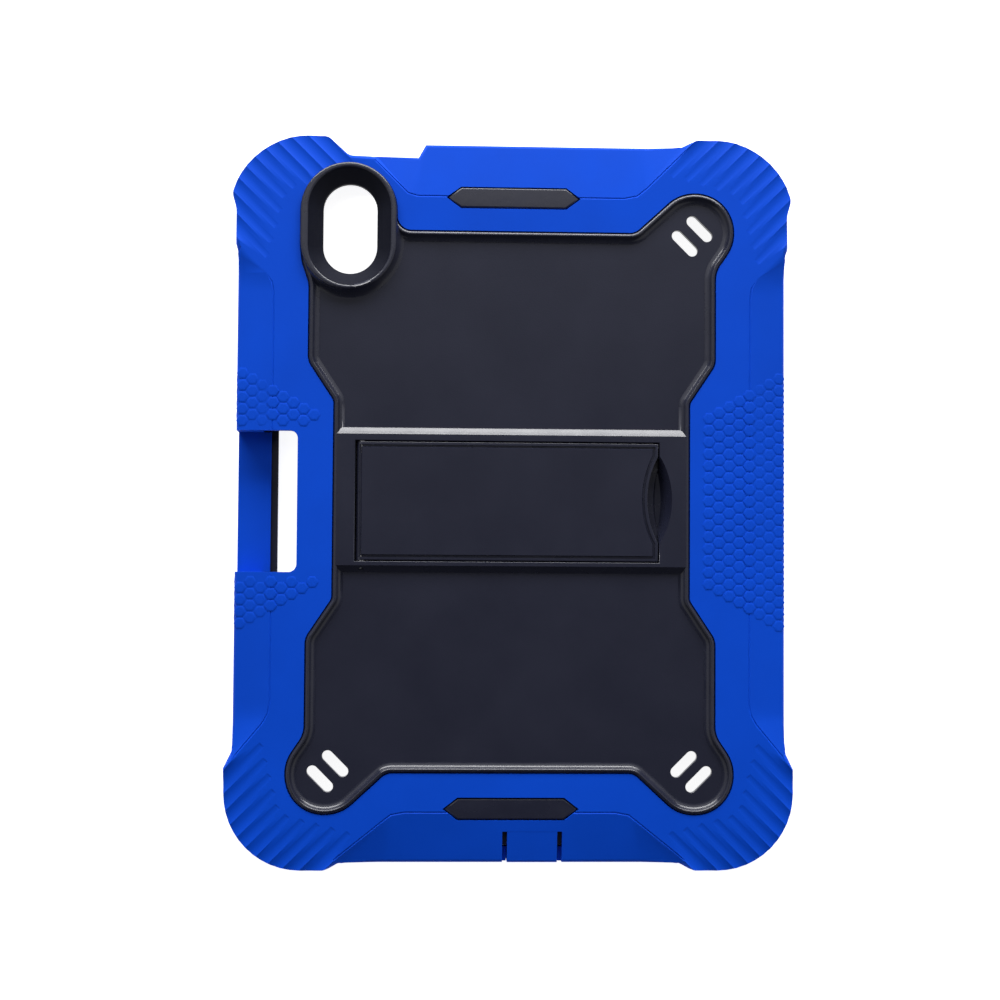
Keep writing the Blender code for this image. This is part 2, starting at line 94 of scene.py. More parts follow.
# Tablet pocket in the shell.
WALL = 1.9
POCKET_X, POCKET_Y, POCKET_R = SHELL_X - WALL, SHELL_Y - WALL, 18.4
BEZEL_LAP = 2.9
SCREEN_X, SCREEN_Y, SCREEN_R = 88.2, 122.8, 16.9

# Skin outline: the corner pads stand proud of the sides.
PAD_X, PAD_Y, PAD_R = 76.2, 107.0, 28.0
END_Y = 132.3
SIDE_X = 101.4
TOP_SIDE = [
    (101.4, 75.8), (101.4, 79.6), (101.4, 83.0), (101.4, 93.4), (102.1, 95.0), (102.1, 107.0, 8.0),
    (103.7, 112.6),
]
TOP_END = [(67.7, 135.0), (64.5, END_Y), (50.3, END_Y), (46.7, END_Y), (41.0, END_Y)]
BOTTOM_SIDE = [(101.4, 74.0), (101.4, 77.8), (101.4, 81.2), (101.4, 93.8), (104.2, 98.2)]
BOTTOM_END = [(67.0, 135.0), (64.2, END_Y), (47.8, END_Y), (44.2, END_Y), (38.5, END_Y)]
NOTCH = [(-32.6, END_Y), (-35.3, 127.45), (-52.0, 127.45), (-61.0, 127.45), (-68.6, 134.4)]
# Where points of the outline move to on the flat back, which gives the border its slope.
TOP_CREST = {
    (101.4, 75.8): (88.0, 75.8), (101.4, 79.6): (88.7, 79.8), (101.4, 83.0): (90.7, 83.2),
    (50.3, END_Y): (49.4, 116.2), (46.7, END_Y): (45.9, 113.4), (41.0, END_Y): (41.0, 112.4),
}
BOTTOM_CREST = {
    (101.4, 74.0): (87.7, 74.0), (101.4, 77.8): (88.4, 78.2), (101.4, 81.2): (90.4, 81.8),
    (47.8, END_Y): (46.9, 117.4), (44.2, END_Y): (43.4, 114.7), (38.5, END_Y): (38.5, 113.8),
}
NOTCH_CREST = {
    (-32.6, END_Y): (-35.5, 112.4), (-35.3, 127.45): (-39.0, 113.4), (-52.0, 127.45): (-52.0, 126.6),
}
CREST_WIDTH, CREST_DEPTH = 0.4, 0.26  # of the fine line along the crest
# Steps from the border up to the corner pads: where each starts on the side and on the end, and its run.
RISERS = ((1, 1, 93.4, 64.5), (1, -1, 93.8, 64.2), (-1, 1, 93.4, None), (-1, -1, 93.8, 64.2))
RISER = 2.4

# Flutes of the corner pads: where they start from the pad's centre, and how much nearer at the sides.
FLUTES, FLUTE_START, FLUTE_LEAN, FLUTE_SKIM = 10, 10.4, 0.57, 0.1
FLUTE_WIDTH, FLUTE_HEIGHT = 0.85, 0.45  # half axes of their round section, in pitches

# Side grips: first column, where the border starts to slope, and how the columns lengthen outwards.
GRIP_X, GRIP_Y, GRIP_COLUMNS, GRIP_SIDE_ROWS = 72.7, 0.35, 8, 2
SLOPE_X, SLOPE_BLEND_X, SLOPE_BLEND = 87.4, 86.0, 3.2
GRIP_REACH, GRIP_REACH_X, GRIP_FLARE = 31.2, 73.1, 0.588
GRIP_SIDE_REACH, GRIP_SIDE_DROP, GRIP_ROOT = 47.0, 3.4, 0.6

# Panel of the shell that shows in the skin's window.
WAIST_X, WAIST_Y = 65.45, 36.4
PANEL_X, PANEL_Y = 75.0, 99.4
SHOULDER_Y = 50.8
LOBE_X, LOBE_Y, LOBE_R = 67.4, 100.3, 14.4
RIM_WIDTH = 3.8
FIELD_Y0, FIELD_Y1 = 26.7, -26.6
BARS = ((0.0, 108.3, 115.8), (0.3, -116.4, -108.7))
BAR_SHOULDER, BAR_TIP = 19.4, 24.4
WINDOWS_X, WINDOWS_Y = 83.0, 125.5    # the skin's windows all lie within these
# Steps (rise, inset) from a field's floor: straight up to the band, coved up to the rim.
BAND_SLOPE = [(0.1, -0.25), (0.75, -1.15), (0.7, -0.95), (0.15, -0.25)]
RIM_COVE = [
    (0.05, -0.5), (0.12, -0.48), (0.23, -0.42), (0.35, -0.35), (0.42, -0.33), (0.36, -0.26), (0.12, -0.2),
    (0.05, -0.2),
]
CORE_Y, CORE_PITCH, CORE_RIB = 31.0, 20.5, 1.6
CORE_ROWS = ((-59.0, 59.0, 5), (-68.0, 68.0, 6), (-68.0, 68.0, 6))
CORE_CAMERA_X = -40.0
FIELD_WALL = 2.0

# Camera opening.
RING_X, RING_Y, RING_HALF_X, RING_HALF_Y = -60.7, 100.65, 17.6, 23.55
RING_CREST = 2.2
RING_SKIRT = 2.7
SKIRT_STEPS = [(0.2, 0.5), (0.7, 0.8), (1.0, 0.8), (0.7, 0.5)]
HOLE_X, HOLE_Y, HOLE_HALF_X, HOLE_HALF_Y = -60.4, 100.5, 10.0, 16.75

# Kickstand, its bay and its finger scoop.
BAY_X0, BAY_X1, BAY_Y0, BAY_Y1 = -57.5, 54.3, -22.5, 21.75
STAND_GAP = 0.4
SCOOP_FLOOR = 12.2
SCOOP_SIZES = ((SCOOP_FLOOR, 0.25), (PLATE_Z, 0.4), (RIM_Z + 0.5, 1.05))
GROOVE_NEAR, GROOVE_FAR, GROOVE_DEPTH = 1.1, 1.8, 0.5
SCOOP_Y0, SCOOP_Y1, SCOOP_X0, SCOOP_X1 = -15.9, 17.3, 50.0, 59.1
STAND_EDGE, STAND_SKIN, STAND_CELLS = 2.4, 2.2, 4
PIN_R, PIN_IN_STAND, PIN_IN_SHELL = 1.25, 4.0, 2.7
PIN_Z = (STAND_Z0 + STAND_Z1) / 2
PIN_X = BAY_X0 + STAND_GAP + (STAND_Z1 - STAND_Z0) / 2

# Openings in the sides.
CUT_X, CUT_Y0, CUT_Y1, CUT_FLOOR = -78.6, -26.7, 25.2, 5.5
LEDGE_X, LEDGE_LAP = 89.3, 0.7
FLAP_SLIT, FLAP_Y, FLAP_FACE_Y = 1.8, -120.8, -126.8
FLAP_WEB, FLAP_BEND, FLAP_RINGS = 1.3, 2.4, 8
PLUG_END, PLUG_Z0, PLUG_Z1 = 0.4, 6.0, 8.8
SLIT_FLOOR_Z = EDGE_Z - 2.5
KEY_Z0, KEY_Z1 = 5.2, 10.4
KEYS = ("volume_up_button", "volume_down_button")
KEY_TIP = 90.4
POWER_X0, POWER_X1 = -57.0, -39.0
PORT_X0, PORT_X1 = 2.2, 14.2
SPEAKERS = ((36.0, 60.0, 1), (-26.0, -2.0, 1), (-62.0, -38.0, -1), (38.0, 62.0, -1))
SPEAKER_Z0, SPEAKER_Z1 = 6.0, 9.2
# How the side openings run through each piece: from (x, y) to (x, y).
SKIN_OPENINGS = (90.5, 125.0, 110.0, 140.0)
SHELL_OPENINGS = (88.0, 122.0, 93.0, 128.0)

# Snap tabs of the bezel: centre along the edge, and which edge.
TABS_SIDE, TABS_TOP, TABS_BOTTOM = (40.0, -40.0, -95.0), (-10.0, 20.0), (-25.0, 27.0)
TAB_LENGTH, TAB_RISE, TAB_NEAR, TAB_FAR = 10.0, 2.5, 0.3, 1.6
STRAP_SLOTS = ((63.8, 96.3), (69.3, 101.8))
STRAP_SLOT_X, STRAP_SLOT_Y = 4.1, 11.9
LOBES = ((1, 1), (-1, -1), (1, -1))
LOBE_CORE_R = 9.5

# Soft boxes: name, place, size in metres and the setting that holds the power.
LIGHTS = (
    ("end_soft_box", (0.0, 1.45, 0.58), (2.4, 0.6), "key_power"),
    ("over_soft_box", (0.0, 0.9, 1.78), (2.3, 1.1), "fill_power"),
    ("side_soft_box", (1.3, -0.2, 0.9), (2.6, 1.8), "side_power"),
    ("side_soft_box", (-1.3, -0.2, 0.9), (2.6, 1.8), "side_power"),
)
# Camera: how far its view is turned from straight down on the back, and where it stands.
VIEW_TURN = (-2.32689, 2.15687, -0.46646)
VIEW_SHIFT = (4.3584, -0.2579)
VIEW_DISTANCE = 612.023


def linear(colour):
    """Scene colour of an sRGB hex value such as "#2052d5"."""
    parts = [int(colour[i:i + 2], 16) / 255 for i in (1, 3, 5)]
    return tuple(p / 12.92 if p <= 0.04045 else ((p + 0.055) / 1.055) ** 2.4 for p in parts)


# ---------------------------------------------------------------- shapes


def round_corner(bm, vert, radius):
    """Rounds one corner of a flat face to an arc."""
    before, after = (edge.other_vert(vert).co - vert.co for edge in vert.link_edges)
    inside = before.angle(after)
    bmesh.ops.bevel(
        bm, geom=[vert], offset=radius / math.tan(inside / 2), offset_type="OFFSET",
        segments=max(1, round((math.pi - inside) / ARC_STEP)), profile=0.5, affect="VERTICES", material=-1,
    )


def trace(corners, height, grow=0.0):
    """A flat face on an outline of (x, y) or (x, y, radius) corners, moved outwards by grow."""
    bm = bmesh.new()
    verts = [bm.verts.new((corner[0], corner[1], height)) for corner in corners]
    bm.faces.new(verts)
    for vert, corner in zip(verts, corners):
        if corner[2:]:
            round_corner(bm, vert, corner[2])
    bmesh.ops.remove_doubles(bm, verts=bm.verts, dist=MERGE)
    face = next(iter(bm.faces))
    face.normal_update()
    if face.normal.z < 0:
        bmesh.ops.reverse_faces(bm, faces=[face])
    if grow:
        rim = bmesh.ops.inset_individual(bm, faces=[face], thickness=-grow, use_even_offset=True)
        bmesh.ops.delete(bm, geom=rim["faces"], context="FACES")
    return bm


def raise_faces(bm, faces, rise):
    """Extrudes each lone face by rise along its own normal and returns the new caps."""
    made = bmesh.ops.extrude_face_region(bm, geom=faces)["geom"]
    caps = [item for item in made if isinstance(item, bmesh.types.BMFace)]
    for cap in caps:
        bmesh.ops.translate(bm, vec=cap.normal * rise, verts=cap.verts)
    return caps


def step(bm, caps, steps):
    """Carries the caps on through (rise, inset) steps; a negative inset widens them."""
    for rise, inset in steps:
        bmesh.ops.inset_individual(bm, faces=caps, thickness=inset, depth=rise, use_even_offset=True)


def rounding(radius, side=1):
    """Steps of a rounded edge; side is -1 in a cutting tool, which widens to leave a rounded lip."""
    turns = [math.radians(90 * i / ROUND_PARTS) for i in range(ROUND_PARTS + 1)]
    return [
        (radius * (math.sin(b) - math.sin(a)), side * radius * (math.cos(a) - math.cos(b)))
        for a, b in zip(turns, turns[1:])
    ]


def keep(name, bm, matrix=None):
    """Closes the work on a mesh and makes it an object."""
    if matrix:
        bmesh.ops.transform(bm, matrix=matrix, verts=bm.verts)
    bmesh.ops.recalc_face_normals(bm, faces=bm.faces)
    mesh = bpy.data.meshes.new(name)
    bm.to_mesh(mesh)
    bm.free()
    obj = bpy.data.objects.new(name, mesh)
    bpy.context.scene.collection.objects.link(obj)
    return obj


def column(name, corners, bottom, top, steps=(), grow=0.0, matrix=None):
    """A solid on an outline from bottom to top, carried on by steps."""
    bm = trace(corners, bottom, grow)
    caps = raise_faces(bm, list(bm.faces), top - bottom)
    step(bm, caps, steps)
    return keep(name, bm, matrix)


def loft(name, sections):
    """A solid through (corners, height) sections that have equally many corners."""
    corners, height = sections[0]
    bm = trace(corners, height)
    cap = next(iter(bm.faces))
    for after, new_height in sections[1:]:
        inner = [cap] if height != sections[0][1] else []
        cap, = raise_faces(bm, [cap], 0.0)
        bmesh.ops.delete(bm, geom=inner, context="FACES_ONLY")
        for vert in list(cap.verts):
            i = min(range(len(corners)), key=lambda k: (vert.co.xy - Vector(corners[k])).length)
            vert.co = (*after[i], new_height)
        corners, height = after, new_height
    return keep(name, bm)


def boxes(name, sizes):
    """One object of separate boxes, each (x0, x1, y0, y1, z0, z1)."""
    bm = bmesh.new()
    for x0, x1, y0, y1, z0, z1 in sizes:
        place = Matrix.Translation(((x0 + x1) / 2, (y0 + y1) / 2, (z0 + z1) / 2))
        size = Matrix.Diagonal((x1 - x0, y1 - y0, z1 - z0, 1.0))
        bmesh.ops.create_cube(bm, size=1.0, matrix=place @ size)
    return keep(name, bm)


def bake(body):
    """Makes what the object's modifiers give its own mesh."""
    graph = bpy.context.evaluated_depsgraph_get()
    mesh = bpy.data.meshes.new_from_object(body.evaluated_get(graph))
    body.modifiers.clear()
    body.data = mesh


def shape(body, operation, *tools):
    """Joins tools to the body, cuts them from it or keeps what they share, one after another."""
    for tool in tools:
        modifier = body.modifiers.new(tool.name, "BOOLEAN")
        modifier.operation = operation
        modifier.object = tool
    bake(body)
    for tool in tools:
        bpy.data.objects.remove(tool)


def cut(body, *tools):
    shape(body, "DIFFERENCE", *tools)


def join(body, *tools):
    shape(body, "UNION", *tools)


def chosen_edges(bm, chosen):
    """The edges for which chosen(edge, middle point, angle between its faces in degrees) holds."""
    edges = []
    for edge in bm.edges:
        if len(edge.link_faces) == 2:
            middle = (edge.verts[0].co + edge.verts[1].co) / 2
            if chosen(edge, middle, math.degrees(edge.calc_face_angle())):
                edges.append(edge)
    return edges


def soften(body, chosen, radius, parts=ROUND_PARTS):
    """Rounds the chosen edges."""
    bm = bmesh.new()
    bm.from_mesh(body.data)
    bmesh.ops.remove_doubles(bm, verts=bm.verts, dist=MERGE)
    bmesh.ops.bevel(
        bm, geom=chosen_edges(bm, chosen), offset=radius, offset_type="OFFSET", segments=parts, profile=0.5,
        affect="EDGES", material=-1, clamp_overlap=True,
    )
    bm.to_mesh(body.data)
    bm.free()


def crease(body, chosen, width, depth):
    """Sinks a fine line along the chosen edges, width to each side and as deep as depth.

    Faces that are left uneven are split into flat ones, which later cuts need.
    """
    bm = bmesh.new()
    bm.from_mesh(body.data)
    made = bmesh.ops.bevel(
        bm, geom=chosen_edges(bm, chosen), offset=width, offset_type="OFFSET", segments=2, profile=0.5,
        affect="EDGES", material=-1, clamp_overlap=False,
    )
    faces = set(made["faces"])
    line = [vert for vert in made["verts"] if faces.issuperset(vert.link_faces)]
    bmesh.ops.translate(bm, vec=(0.0, 0.0, -depth), verts=line)
    bmesh.ops.connect_verts_nonplanar(bm, angle_limit=0.002, faces=list(bm.faces))
    bm.to_mesh(body.data)
    bm.free()


def finish(body, rides, replaces, materials, smooth=32.0):
    """Turns a finished shape to metres, shades it, gives it its materials and sets what it rides on."""
    body.data.transform(Matrix.Scale(MM, 4))
    given = [face.material_index for face in body.data.polygons]
    body.data.materials.clear()
    for material in materials:
        body.data.materials.append(material)
    body.data.polygons.foreach_set("material_index", given)
    body.data.shade_smooth()
    body.data.set_sharp_from_angle(angle=math.radians(smooth))
    weighted = body.modifiers.new("even_shading", "WEIGHTED_NORMAL")
    weighted.keep_sharp = True
    if rides:
        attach(body, rides)
    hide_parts(replaces)


# ---------------------------------------------------------------- outlines


def placed(corners, sx, sy):
    """Corners of the +X +Y quarter moved to another quarter, still anticlockwise."""
    moved = [(sx * x, sy * y, *rest) for x, y, *rest in corners]
    return moved if sx * sy > 0 else moved[::-1]


def sweep(cx, cy, radius, start, end):
    """Corners that round to an arc between two directions in degrees from +X."""
    count = math.ceil((end - start) / 95)
    half = math.radians((end - start) / count / 2)
    reach = radius / math.cos(half)
    turns = [math.radians(start) + half * (2 * i + 1) for i in range(count)]
    return [(cx + reach * math.cos(a), cy + reach * math.sin(a), radius) for a in turns]


def rectangle(x0, x1, y0, y1, radius=0.0):
    corners = ((x1, y0), (x1, y1), (x0, y1), (x0, y0))
    return [(x, y, radius) if radius else (x, y) for x, y in corners]


def centred(half_x, half_y, radius):
    return rectangle(-half_x, half_x, -half_y, half_y, radius)


def pill(cx, cy, half_x, half_y):
    """An upright slot with round ends."""
    return rectangle(cx - half_x, cx + half_x, cy - half_y, cy + half_y, half_x)


def bow(x, y0, y1, depth):
    """An arc of few points from (x, y0) to (x, y1) that bulges by depth along X."""
    half = (y1 - y0) / 2
    radius = (half * half + depth * depth) / (2 * abs(depth))
    swing = math.asin(half / radius)
    sign = 1 if depth > 0 else -1
    turns = [swing * (i / 8 - 1) for i in range(17)]
    middle = (y0 + y1) / 2
    return [(x + depth - sign * radius * (1 - math.cos(a)), middle + radius * math.sin(a)) for a in turns]


def panel_corner():
    """The panel's outline in the +X +Y quarter, anticlockwise from the waist to the end edge."""
    return [
        (WAIST_X, WAIST_Y, 3.0),
        (PANEL_X, SHOULDER_Y, 6.0),
        (PANEL_X, 85.6, 9.0),
        *sweep(LOBE_X, LOBE_Y, LOBE_R, -35, 132),
        (45.3, PANEL_Y, 5.0),
    ]


def panel_outline():
    """The whole panel; the camera ring takes the place of the lobe at -X +Y."""
    camera = [
        (RING_X + RING_HALF_X, PANEL_Y, 5.5),
        *sweep(RING_X, RING_Y + RING_HALF_Y - RING_HALF_X, RING_HALF_X, 0, 180),
        (RING_X - RING_HALF_X, 93.5, 4.0),
        (-77.6, 87.2, 6.0),
        (-PANEL_X, 79.5, 8.0),
        (-PANEL_X, SHOULDER_Y, 6.0),
        (-WAIST_X, WAIST_Y, 3.0),
    ]
    lower = placed(panel_corner(), -1, -1) + placed(panel_corner(), 1, -1)
    return panel_corner() + camera + lower


def bar_outlines():
    """The two bars with pointed ends, near the top and the bottom edge."""
    outlines = []
    for x, y0, y1 in BARS:
        middle = (y0 + y1) / 2
        outlines.append([
            (x - BAR_TIP, middle), (x - BAR_SHOULDER, y0), (x + BAR_SHOULDER, y0),
            (x + BAR_TIP, middle), (x + BAR_SHOULDER, y1), (x - BAR_SHOULDER, y1),
        ])
    return outlines


def stand_outline(inset=0.0):
    """The kickstand seen from behind, with its own half of the finger scoop."""
    x0, x1 = BAY_X0 + STAND_GAP + inset, BAY_X1 - STAND_GAP - inset
    y0, y1 = BAY_Y0 + STAND_GAP + inset, BAY_Y1 - STAND_GAP - inset
    half, deep = (SCOOP_Y1 - SCOOP_Y0) / 2, BAY_X1 - SCOOP_X0
    radius = (half * half + deep * deep) / (2 * deep) + inset
    deep -= STAND_GAP
    middle, half = (SCOOP_Y0 + SCOOP_Y1) / 2, math.sqrt(2 * radius * deep - deep * deep)
    return [(x0, y0), (x1, y0), *bow(x1, middle - half, middle + half, -deep), (x1, y1), (x0, y1)]


def skin_outline():
    arc = sweep(PAD_X, PAD_Y, PAD_R, 15, 90)
    top = TOP_SIDE + arc + TOP_END
    bottom = BOTTOM_SIDE + sweep(PAD_X, PAD_Y, PAD_R, 0, 90) + BOTTOM_END
    camera = placed(TOP_SIDE + arc, -1, 1)
    return placed(top, 1, 1) + NOTCH + camera + placed(bottom, -1, -1) + placed(bottom, 1, -1)


def skin_crest():
    """Every move from the skin's outline to the crest line on its back."""
    moves = dict(NOTCH_CREST)
    for (x, y), (new_x, new_y) in TOP_CREST.items():
        moves[(x, y)] = (new_x, new_y)
        if x == SIDE_X:
            moves[(-x, y)] = (-new_x, new_y)
    for (x, y), (new_x, new_y) in BOTTOM_CREST.items():
        for sx in (1, -1):
            moves[(sx * x, -y)] = (sx * new_x, -new_y)
    return moves


def border_z(y):
    """Height of the sloped border across the bottom end."""
    return BACK_Z - (BACK_Z - EDGE_Z) * (-y - 113.8) / (END_Y - 113.8)


# ---------------------------------------------------------------- skin


def move_points(bm, height, moves):
    """Moves points at that height from one (x, y) to another."""
    for (x, y), (new_x, new_y) in moves.items():
        near = min(bm.verts, key=lambda vert: (vert.co - Vector((x, y, height))).length)
        bmesh.ops.translate(bm, vec=(new_x - x, new_y - y, 0.0), verts=[near])


def skin_body():
    """The outer form: walls, sloped border, corner pads and flat back."""
    bm = trace(skin_outline(), 0.0)
    caps = raise_faces(bm, list(bm.faces), EDGE_Z)
    step(bm, caps, [(BACK_Z - EDGE_Z, 0.0)])
    move_points(bm, BACK_Z, skin_crest())
    feet = {}
    for sx, sy, side_y, end_x in RISERS:
        feet[(sx * SIDE_X, sy * side_y)] = (sx * SIDE_X, sy * (side_y - RISER))
        if end_x:
            feet[(sx * end_x, sy * END_Y)] = (sx * (end_x - RISER), sy * END_Y)
    move_points(bm, EDGE_Z, feet)
    return keep("skin_moulding", bm)


def flutes(name, first):
    """Every second scoop across the corner pads; each deepens towards the outer edge."""
    look = bpy.context.scene.case_skin
    pitch, depth = look.flute_pitch / MM, look.flute_depth / MM
    width, height = FLUTE_WIDTH * pitch, FLUTE_HEIGHT * pitch
    bm = bmesh.new()
    for sx in (1, -1):
        for sy in (1, -1):
            turn = math.atan2(sy, sx)
            for i in range(first, FLUTES, 2):
                across = (i - (FLUTES - 1) / 2) * pitch
                start, end = FLUTE_START - FLUTE_LEAN * abs(across), math.sqrt(PAD_R ** 2 - across ** 2)
                tilt = math.atan2(depth, end - start)
                place = Matrix.Translation((sx * PAD_X, sy * PAD_Y, BACK_Z))
                place @= Matrix.Rotation(turn, 4, "Z") @ Matrix.Translation((start, across, -FLUTE_SKIM))
                place @= Matrix.Rotation(tilt, 4, "Y") @ Matrix.Translation((end - start, 0.0, height))
                place @= Matrix.Rotation(math.pi / 2, 4, "Y") @ Matrix.Diagonal((height, width, 1.0, 1.0))
                bmesh.ops.create_cone(
                    bm, cap_ends=True, segments=48, radius1=1.0, radius2=1.0,
                    depth=2 * (end - start), matrix=place,
                )
    return keep(name, bm)


def grip_cells(name):
    """Low hexagons of the side grips, following the border and wrapping on to the side walls."""
    look = bpy.context.scene.case_skin
    pitch, rise = look.grip_pitch / MM, look.grip_height / MM
    column_pitch = pitch * math.cos(math.radians(30))
    slope = math.atan2(BACK_Z - EDGE_Z, SIDE_X - SLOPE_X)
    rows = []
    for k in range(GRIP_COLUMNS):
        x = GRIP_X + column_pitch * k
        tilt = slope * min(1.0, max(0.0, (x - SLOPE_BLEND_X) / SLOPE_BLEND))
        z = BACK_Z - max(0.0, x - SLOPE_X) * math.tan(slope)
        rows.append((k, x, z, tilt, GRIP_REACH + (x - GRIP_REACH_X) * GRIP_FLARE))
    for i in range(GRIP_SIDE_ROWS):
        z = EDGE_Z - GRIP_SIDE_DROP - column_pitch * i
        rows.append((GRIP_COLUMNS + i, SIDE_X, z, math.pi / 2, GRIP_SIDE_REACH - 2 * i))
    bm = bmesh.new()
    for k, x, z, tilt, reach in rows:
        for j in range(-12, 13):
            y = GRIP_Y + (j + 0.5 * (k % 2)) * pitch
            if abs(y) > reach:
                continue
            for side in (1, -1):
                if side < 0 and CUT_Y0 - pitch / 2 < y < CUT_Y1 + pitch / 2:
                    continue
                place = Matrix.Translation((side * x, y, z)) @ Matrix.Rotation(side * tilt, 4, "Y")
                place @= Matrix.Translation((0.0, 0.0, -GRIP_ROOT)) @ Matrix.Rotation(math.pi / 6, 4, "Z")
                bmesh.ops.create_circle(bm, cap_ends=True, segments=6, radius=0.52 * pitch, matrix=place)
    caps = raise_faces(bm, list(bm.faces), GRIP_ROOT + 0.4 * rise)
    step(bm, caps, [(0.5 * rise, 0.3), (0.1 * rise, 0.45)])
    return keep(name, bm)


def side_openings(name, near_x, near_y, far_x, far_y):
    """The power key, speaker and volume key openings, cut from near to far on each side."""
    sizes = [(POWER_X0, POWER_X1, near_y, far_y, KEY_Z0, KEY_Z1)]
    for x0, x1, end in SPEAKERS:
        y0, y1 = sorted((end * near_y, end * far_y))
        sizes.append((x0, x1, y0, y1, SPEAKER_Z0, SPEAKER_Z1))
    body = boxes(name, sizes)
    join(body, *[key_column(key, GAP, -far_x, -near_x) for key in KEYS])
    return body


def key_column(key, grow, x0, x1, steps=()):
    """A rounded bar along X on the outline of a volume key; its steps round the outer end."""
    low, high = corner_mm(key, 0), corner_mm(key, 1)
    outline = rectangle(low.z, high.z, low.y, high.y, (high.z - low.z) / 2 - 0.2)
    turn = Matrix.Rotation(-math.pi / 2, 4, "Y")
    return column(key + "_tool", outline, -x1, -x0, steps, grow, turn)


def flap_gap():
    """The opening round the port flap: as wide as the flap and a slit at each side of it."""
    return (FLAP_X0 - FLAP_SLIT, FLAP_X1 + FLAP_SLIT, -END_Y - CLEAR, FLAP_Y, FLAP_Z0 - GAP, RING_Z)


def slit_floors():
    """What closes the lower part of the slit at each side of the port flap, just clear of the flap."""
    sizes = []
    for x0, x1 in ((FLAP_X0 - FLAP_SLIT - 0.5, FLAP_X0 - GAP), (FLAP_X1 + GAP, FLAP_X1 + FLAP_SLIT + 0.5)):
        sizes.append((x0, x1, -END_Y + 0.3, FLAP_FACE_Y, FLAP_Z0 - 1, SLIT_FLOOR_Z))
    return sizes


class CASE_OT_skin(bpy.types.Operator):
    """Silicone skin with fluted corner pads, sloped border, grips and windows"""

    bl_idname = "case.skin"
    bl_label = "Skin"

    def execute(self, context):
        look = context.scene.case_skin
        body = skin_body()
        soften(body, outer_edge, look.edge_radius / MM)
        crease(body, crest_line, CREST_WIDTH, CREST_DEPTH)
        grow = WALL + GAP
        inside = centred(POCKET_X + grow, POCKET_Y + grow, POCKET_R + grow)
        cut(
            body,
            column("inside", inside, LIP_Z, PLATE_Z + GAP),
            column("screen", centred(SCREEN_X, SCREEN_Y, SCREEN_R), -CLEAR, LIP_Z + 0.5),
            column("window", panel_outline(), PLATE_Z, RING_Z, grow=GAP),
            *[column("bar_window", outline, PLATE_Z, RING_Z, grow=GAP) for outline in bar_outlines()],
            column("cut_out", rectangle(-SIDE_X - 10, CUT_X, CUT_Y0, CUT_Y1, 3.0), CUT_FLOOR, RING_Z),
            boxes("flap_gap", [flap_gap()]),
            side_openings("side_holes", *SKIN_OPENINGS),
        )
        ledge_x0 = -POCKET_X - grow - LEDGE_LAP
        join(body, boxes("ledge", [(ledge_x0, -LEDGE_X, CUT_Y0, CUT_Y1, SHELL_Z0, CUT_FLOOR)]))
        join(body, boxes("slit_floors", slit_floors()))
        soften(body, skin_lip, look.lip_radius / MM)
        cut(body, flutes("even_flutes", 0))
        cut(body, flutes("odd_flutes", 1))
        join(body, grip_cells("grips"))
        finish(body, "case", "silicone_skin", [silicone()])
        return {"FINISHED"}


def outer_edge(edge, at, turn):
    """Whether an edge runs round the foot of the skin, or round its back and its border."""
    return turn > 30 and (at.z < 0.1 or at.z > EDGE_Z - 0.1)


def crest_line(edge, at, turn):
    """Whether an edge lies between the flat back and the border, and not on a rounded edge."""
    smallest = min(face.calc_area() for face in edge.link_faces)
    return 4 < turn < 20 and at.z > BACK_Z - 0.2 and smallest > 12


def skin_lip(edge, at, turn):
    """Whether an edge is the upper lip of a window or of the cut-out, or the inner lip round the screen."""
    if turn < 45:
        return False
    if at.z < 0.1:
        return abs(at.x) < SCREEN_X + 0.2 and abs(at.y) < SCREEN_Y + 0.2
    windows = abs(at.x) < WINDOWS_X and abs(at.y) < WINDOWS_Y and at.z > BACK_Z - 0.9
    cut_out = at.x < -77 and CUT_Y0 - 0.2 < at.y < CUT_Y1 + 0.2 and at.z > PLATE_Z + 0.5
    return windows and at.y > FLAP_Y + 1 or cut_out


# ---------------------------------------------------------------- shell


def core_cells():
    """The cored cells behind each field, with a rib between neighbours."""
    sizes = []
    for sign in (1, -1):
        for row, (x0, x1, count) in enumerate(CORE_ROWS):
            if row and sign > 0:
                x0 = CORE_CAMERA_X
                count -= 1
            width = (x1 - x0 + CORE_RIB) / count
            near = CORE_Y + row * CORE_PITCH
            y0, y1 = sorted((sign * near, sign * (near + CORE_PITCH - CORE_RIB)))
            for i in range(count):
                left = x0 + i * width
                sizes.append((left, left + width - CORE_RIB, y0, y1, SEAT_Z - 1, FIELD_Z - FIELD_WALL))
    return boxes("cores", sizes)


def field_tool(name, side):
    """Cuts one of the two sunk fields, with a cove up to the rim and a straight slope up to the band."""
    foot = FIELD_Z + 0.1
    body = column(name, panel_outline(), FIELD_Z, foot, RIM_COVE + [(CLEAR, 0.0)], grow=-RIM_WIDTH)
    y0, y1 = sorted((FIELD_Y0 if side > 0 else FIELD_Y1, side * 2 * END_Y))
    half = rectangle(-SIDE_X, SIDE_X, y0, y1)
    shape(body, "INTERSECT", column("field_half", half, FIELD_Z - 1, foot, BAND_SLOPE + [(CLEAR + 1, 0.0)]))
    return body


def lobe_cores():
    """Round cores that thin the three lobes behind their strap slots."""
    outlines = [sweep(sx * LOBE_X, sy * LOBE_Y, LOBE_CORE_R, 0, 360) for sx, sy in LOBES]
    return [column("lobe_core", outline, SEAT_Z - 1, FIELD_Z - FIELD_WALL) for outline in outlines]


